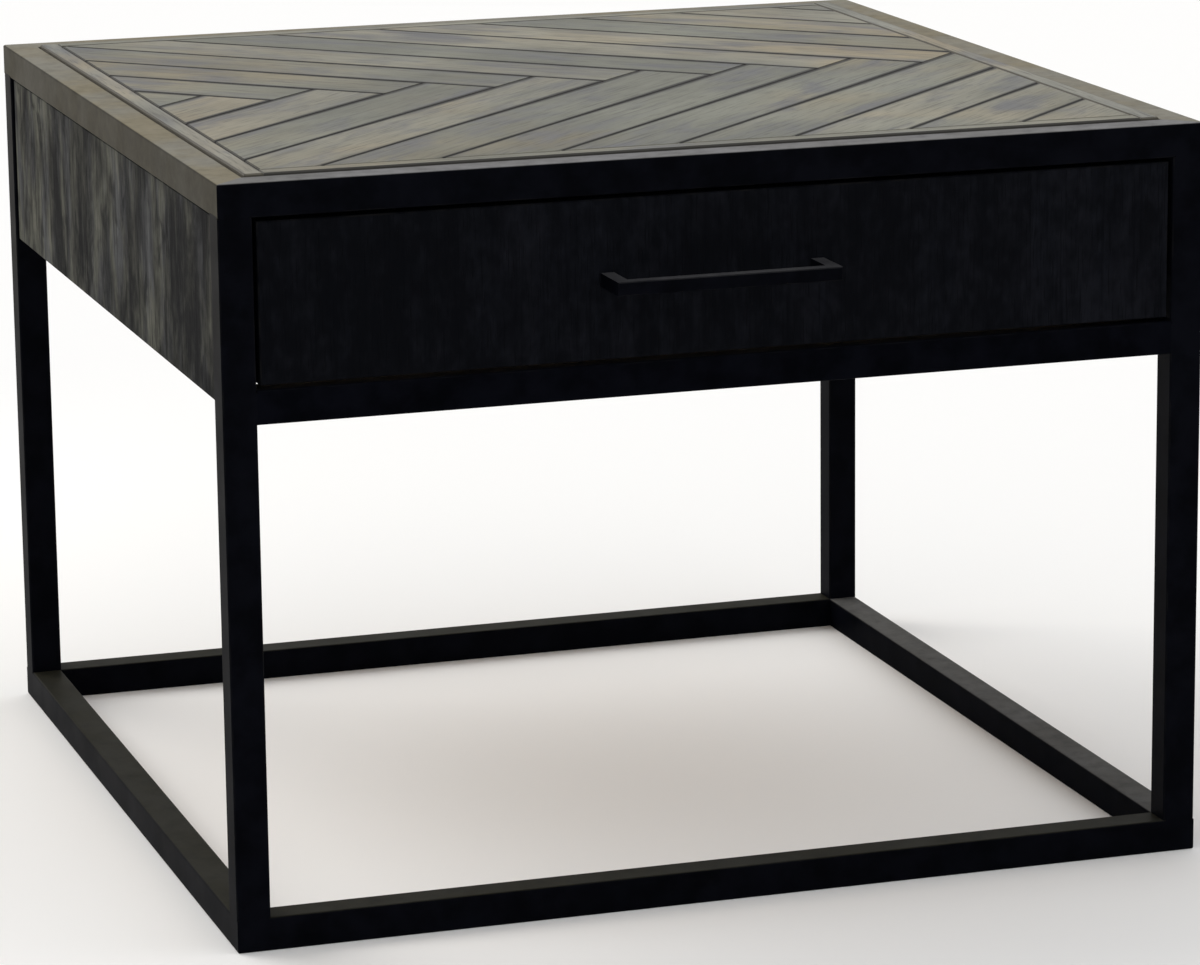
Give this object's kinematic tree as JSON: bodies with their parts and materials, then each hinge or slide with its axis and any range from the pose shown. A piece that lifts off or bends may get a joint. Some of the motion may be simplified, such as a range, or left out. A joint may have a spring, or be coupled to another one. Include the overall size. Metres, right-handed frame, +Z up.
{
  "type": "side table with drawer",
  "caption": "Low square side table: open frame of black square tube, herringbone wood top set flush in it, wood sides and a drawer with a bar pull on telescopic runners.",
  "frame": {"origin": "on the floor, in the middle of the footprint with the pull counted in", "axes": "+Z up, -Y to the front, the way the drawer opens, +X to the right as seen from the front"},
  "size_m": [0.6, 0.631, 0.45],
  "materials": {
    "black_steel": "satin black powder coat",
    "top_wood": "grey-brown weathered stain, matt",
    "stained_wood": "near-black stain, open grain, matt",
    "box_wood": "plain, lightly oiled",
    "plywood": "plain",
    "zinc_steel": "zinc plated"
  },
  "bodies": {
    "table": {"back_panel": "stained_wood", "corner_brackets": "zinc_steel", "frame_bottom_rail_back": "black_steel", "frame_bottom_rail_front": "black_steel", "frame_bottom_rail_left": "black_steel", "frame_bottom_rail_right": "black_steel", "frame_drawer_rail": "black_steel", "frame_post_back_left": "black_steel", "frame_post_back_right": "black_steel", "frame_post_front_left": "black_steel", "frame_post_front_right": "black_steel", "frame_screws": "zinc_steel", "frame_top_rail_back": "black_steel", "frame_top_rail_front": "black_steel", "frame_top_rail_left": "black_steel", "frame_top_rail_right": "black_steel", "runner_cabinet_member_left": "zinc_steel", "runner_cabinet_member_right": "zinc_steel", "runner_cabinet_screws": "zinc_steel", "side_panel_left": "stained_wood", "side_panel_right": "stained_wood", "top_boards_back": "top_wood", "top_boards_front": "top_wood", "top_border_back": "top_wood", "top_border_front": "top_wood", "top_border_left": "top_wood", "top_border_right": "top_wood", "top_core": "plywood", "top_ledge_back": "black_steel", "top_ledge_front": "black_steel", "top_ledge_left": "black_steel", "top_ledge_right": "black_steel"},
    "drawer": {"drawer_front": "stained_wood", "drawer_box_front": "box_wood", "drawer_side_left": "box_wood", "drawer_side_right": "box_wood", "drawer_back": "box_wood", "drawer_bottom": "plywood", "handle": "black_steel", "handle_screws": "zinc_steel", "front_screws": "zinc_steel", "runner_drawer_member_left": "zinc_steel", "runner_drawer_member_right": "zinc_steel", "runner_drawer_screws": "zinc_steel"},
    "runner_middle_member_left": {"runner_middle_member_left": "zinc_steel"},
    "runner_outer_cage_left": {"runner_outer_cage_left": "zinc_steel"},
    "runner_inner_cage_left": {"runner_inner_cage_left": "zinc_steel"},
    "runner_middle_member_right": {"runner_middle_member_right": "zinc_steel"},
    "runner_outer_cage_right": {"runner_outer_cage_right": "zinc_steel"},
    "runner_inner_cage_right": {"runner_inner_cage_right": "zinc_steel"}
  },
  "joints": [
    {"name": "drawer_slide", "type": "slide", "parent": "table", "child": "drawer", "axis": [0, -1, 0], "range_m": [0, 0.45]},
    {"name": "runner_middle_member_left_slide", "type": "slide", "parent": "table", "child": "runner_middle_member_left", "axis": [0, -1, 0], "range_m": [0, 0.225]},
    {"name": "runner_outer_cage_left_slide", "type": "slide", "parent": "table", "child": "runner_outer_cage_left", "axis": [0, -1, 0], "range_m": [0, 0.1125]},
    {"name": "runner_inner_cage_left_slide", "type": "slide", "parent": "table", "child": "runner_inner_cage_left", "axis": [0, -1, 0], "range_m": [0, 0.3375]},
    {"name": "runner_middle_member_right_slide", "type": "slide", "parent": "table", "child": "runner_middle_member_right", "axis": [0, -1, 0], "range_m": [0, 0.225]},
    {"name": "runner_outer_cage_right_slide", "type": "slide", "parent": "table", "child": "runner_outer_cage_right", "axis": [0, -1, 0], "range_m": [0, 0.1125]},
    {"name": "runner_inner_cage_right_slide", "type": "slide", "parent": "table", "child": "runner_inner_cage_right", "axis": [0, -1, 0], "range_m": [0, 0.3375]}
  ],
  "couplings": [
    {"joint": "runner_middle_member_left_slide", "follows": "drawer_slide", "ratio": 0.5},
    {"joint": "runner_outer_cage_left_slide", "follows": "drawer_slide", "ratio": 0.25},
    {"joint": "runner_inner_cage_left_slide", "follows": "drawer_slide", "ratio": 0.75},
    {"joint": "runner_middle_member_right_slide", "follows": "drawer_slide", "ratio": 0.5},
    {"joint": "runner_outer_cage_right_slide", "follows": "drawer_slide", "ratio": 0.25},
    {"joint": "runner_inner_cage_right_slide", "follows": "drawer_slide", "ratio": 0.75}
  ]
}
